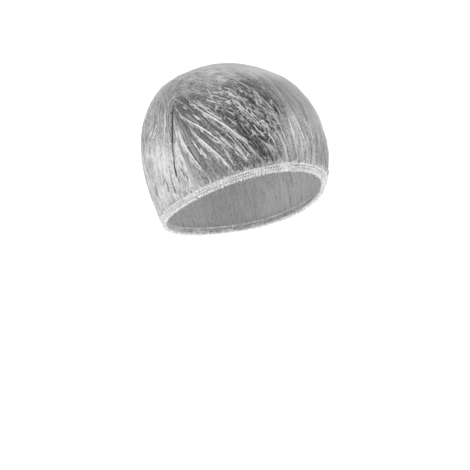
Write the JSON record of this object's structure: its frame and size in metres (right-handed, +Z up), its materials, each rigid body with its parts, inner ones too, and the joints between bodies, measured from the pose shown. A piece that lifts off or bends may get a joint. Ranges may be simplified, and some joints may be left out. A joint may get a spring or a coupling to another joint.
{
  "type": "disposable film cap",
  "caption": "Clear plastic film cap as worn on a head: a thin wrinkled crown whose folded hem is gathered on a flat elastic",
  "frame": {"origin": "On the inside of the crown at its highest point, where the cap bears on the top of the head.", "axes": "+Z up with the wearer's head upright; +X to the wearer's left; +Y to the back of the head, so the forehead is at -Y."},
  "size_m": [0.1704, 0.2063, 0.1694],
  "materials": {
    "film": "clear, crinkled",
    "elastic": "matt"
  },
  "bodies": {
    "root": {"film_crown": "film", "elastic_band": "elastic"}
  },
  "joints": []
}
